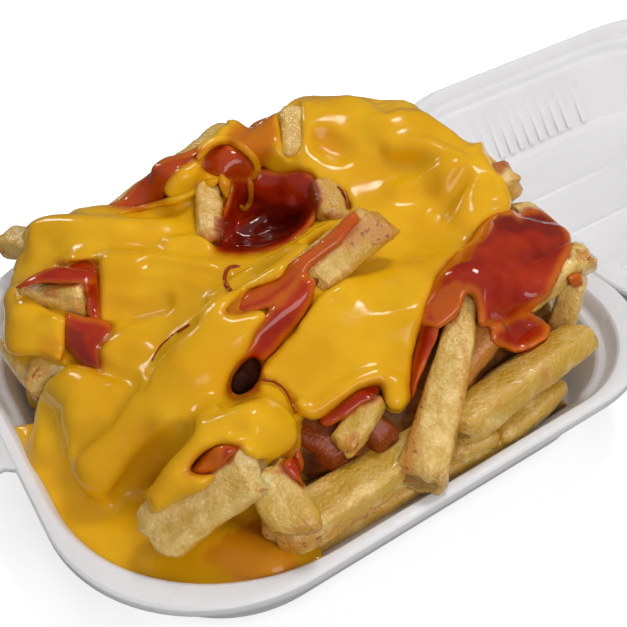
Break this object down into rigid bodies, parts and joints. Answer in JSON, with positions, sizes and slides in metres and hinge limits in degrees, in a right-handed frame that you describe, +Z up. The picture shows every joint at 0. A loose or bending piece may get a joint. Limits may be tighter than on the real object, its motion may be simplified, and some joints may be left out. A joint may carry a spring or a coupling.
{
  "type": "cheese fries in an open takeaway box",
  "caption": "Heaped thick-cut fries under poured cheese sauce and ketchup, in the tray of a hinged white foam takeaway box lying open.",
  "frame": {"origin": "on the floor, in the middle of the hinge line between the tray and the open lid", "axes": "+Z up; the tray with the food lies at -Y and the open lid at +Y; +X is the tray's side seen in front"},
  "size_m": [0.209, 0.48, 0.0896],
  "materials": {
    "foam": "smooth white expanded polystyrene with a faint bead grain",
    "potato": "fried potato, pale yellow with browned edges, slightly oily",
    "cheese": "thick glossy cheese sauce",
    "ketchup": "glossy tomato ketchup"
  },
  "bodies": {
    "base": {"tray": "foam", "fries": "potato", "cheese": "cheese", "ketchup_hollow": "ketchup", "ketchup_side": "ketchup", "ketchup_crest": "ketchup"},
    "lid": {"lid": "foam"}
  },
  "joints": [
    {"name": "lid_hinge", "type": "hinge", "parent": "base", "child": "lid", "pos_m": [0, 0, 0.0372], "axis": [1, 0, 0], "range_deg": [0, 125]}
  ]
}
